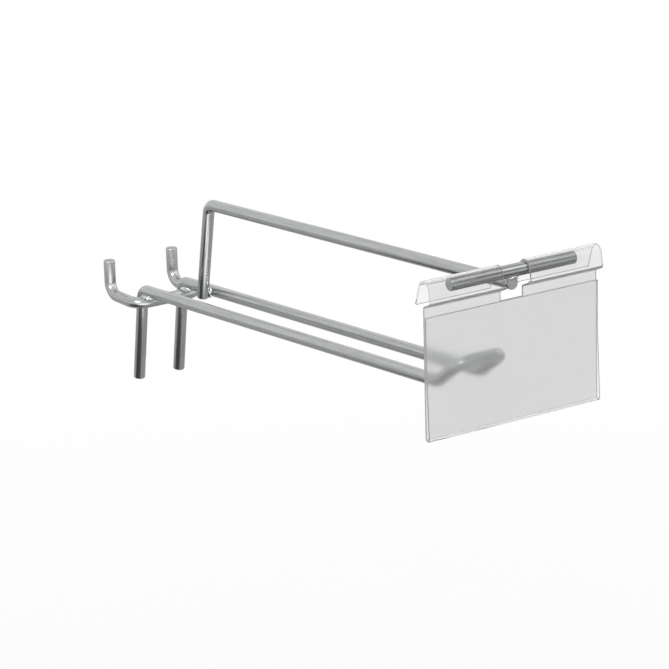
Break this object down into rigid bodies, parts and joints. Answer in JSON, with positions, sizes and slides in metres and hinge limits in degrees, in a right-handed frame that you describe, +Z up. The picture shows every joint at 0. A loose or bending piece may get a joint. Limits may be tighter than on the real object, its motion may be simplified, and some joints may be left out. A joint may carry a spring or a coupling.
{
  "type": "pegboard hook",
  "caption": "Welded wire double pegboard hook with an upper arm and a clear flip-up price label holder at the front.",
  "frame": {"origin": "on the board's front face, midway between the two holes, at the height of the wires that go through them", "axes": "+X along the board to the shopper's right, +Y into the board so that the hook reaches towards -Y, +Z up"},
  "size_m": [0.0643, 0.2122, 0.0826],
  "materials": {
    "bright_wire": "bright zinc or chrome plating over drawn steel wire",
    "clear_plastic": "clear, slightly milky extruded vinyl"
  },
  "bodies": {
    "wire_frame": {"base_wire": "bright_wire", "prong_wire": "bright_wire", "arm_wire": "bright_wire", "cross_bar": "bright_wire"},
    "label_holder": {"label_holder": "clear_plastic"}
  },
  "joints": [
    {"name": "label_flip", "type": "hinge", "parent": "wire_frame", "child": "label_holder", "pos_m": [0.0043, -0.2, 0.05044], "axis": [-1, 0, 0], "range_deg": [-12, 260]}
  ]
}
